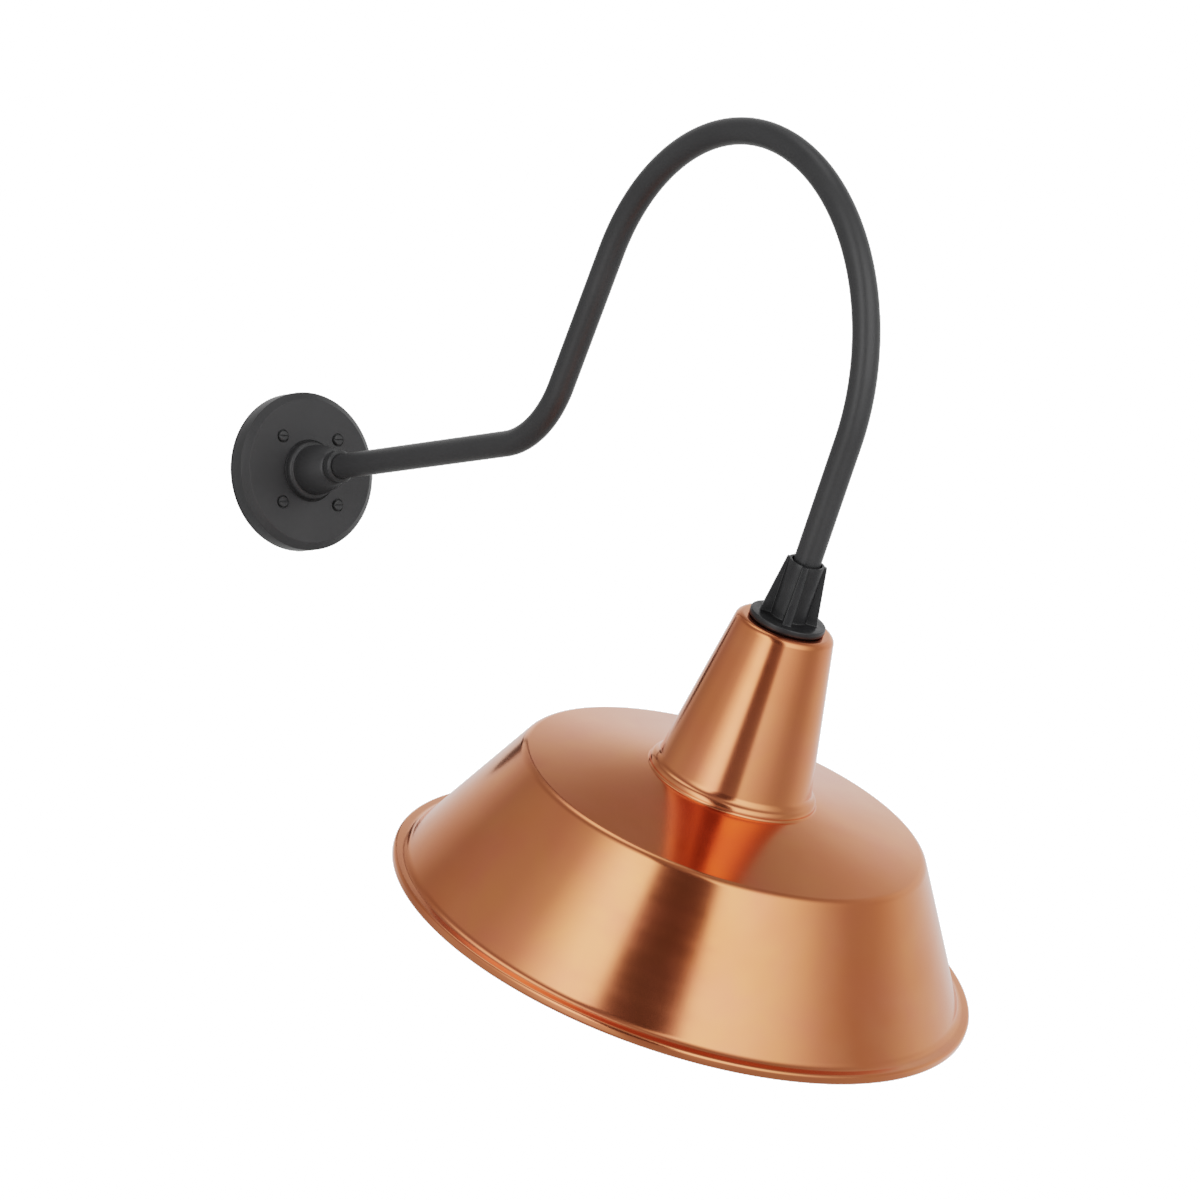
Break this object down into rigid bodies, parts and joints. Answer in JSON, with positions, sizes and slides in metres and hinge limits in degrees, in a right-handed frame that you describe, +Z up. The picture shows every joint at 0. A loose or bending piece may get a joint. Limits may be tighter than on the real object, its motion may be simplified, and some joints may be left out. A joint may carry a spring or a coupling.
{
  "type": "gooseneck barn light",
  "caption": "Wall-mounted gooseneck barn light: round canopy, curved tube arm, ribbed cast shade holder and a conical copper shade over a screw-base bulb.",
  "frame": {"origin": "centre of the canopy's back, on the wall and on the hub's axis", "axes": "+Z up, +Y into the wall, so the arm reaches out along -Y in the plane X = 0"},
  "size_m": [0.4063, 0.6723, 0.6462],
  "materials": {
    "rubber_black": "matt black rubber",
    "zinc_steel": "zinc-plated steel",
    "charcoal_paint": "smooth satin charcoal powder coat",
    "black_cast": "satin black paint on a casting",
    "dark_steel": "blackened steel",
    "green_paint": "green chromate",
    "green_insulation": "green insulation",
    "black_insulation": "black insulation",
    "white_insulation": "white insulation",
    "natural_plastic": "cream plastic",
    "copper": "satin lacquered spun copper",
    "porcelain": "white glazed porcelain",
    "brass": "plain brass",
    "nickel": "nickel plate",
    "frosted_glass": "frosted glass",
    "clear_glass": "clear glass",
    "tungsten": "grey wire",
    "dark_ceramic": "black glass insulator"
  },
  "bodies": {
    "base": {"wall_gasket": "rubber_black", "mounting_plate": "zinc_steel", "canopy": "charcoal_paint", "canopy_screws": "dark_steel", "ground_screw": "green_paint", "ground_lead": "green_insulation", "ground_splice_cap": "green_insulation", "hub_set_screw": "dark_steel"},
    "arm": {"arm_tube": "charcoal_paint", "arm_collar": "charcoal_paint", "arm_washer": "zinc_steel", "arm_locknut": "zinc_steel", "black_lead": "black_insulation", "white_lead": "white_insulation", "splice_caps": "natural_plastic", "lead_sleeve": "natural_plastic"},
    "shade": {"shade_holder": "black_cast", "holder_set_screw": "dark_steel", "neck_gasket": "rubber_black", "shade": "copper", "shade_washer": "zinc_steel", "shade_locknut": "zinc_steel", "lamp_holder_body": "porcelain", "screw_shell": "brass", "centre_contact": "brass", "line_strap": "brass", "neutral_strap": "nickel", "terminal_screws": "brass", "line_tail": "black_insulation", "neutral_tail": "white_insulation"},
    "bulb": {"bulb_glass": "frosted_glass", "bulb_stem": "clear_glass", "bulb_filament": "tungsten", "bulb_cap": "nickel", "bulb_insulator": "dark_ceramic", "bulb_contact": "nickel"}
  },
  "joints": [
    {"name": "arm_swivel", "type": "hinge", "parent": "base", "child": "arm", "pos_m": [0, 0, 0], "axis": [0, 1, 0], "range_deg": [-30, 30]},
    {"name": "shade_swivel", "type": "hinge", "parent": "arm", "child": "shade", "pos_m": [0, -0.59032, -0.12695], "axis": [0, -0.4879, 0.8729], "range_deg": [-90, 90]},
    {"name": "bulb_unscrew", "type": "slide", "parent": "shade", "child": "bulb", "axis": [0, 0.4879, -0.8729], "range_m": [0, 0.026]}
  ]
}
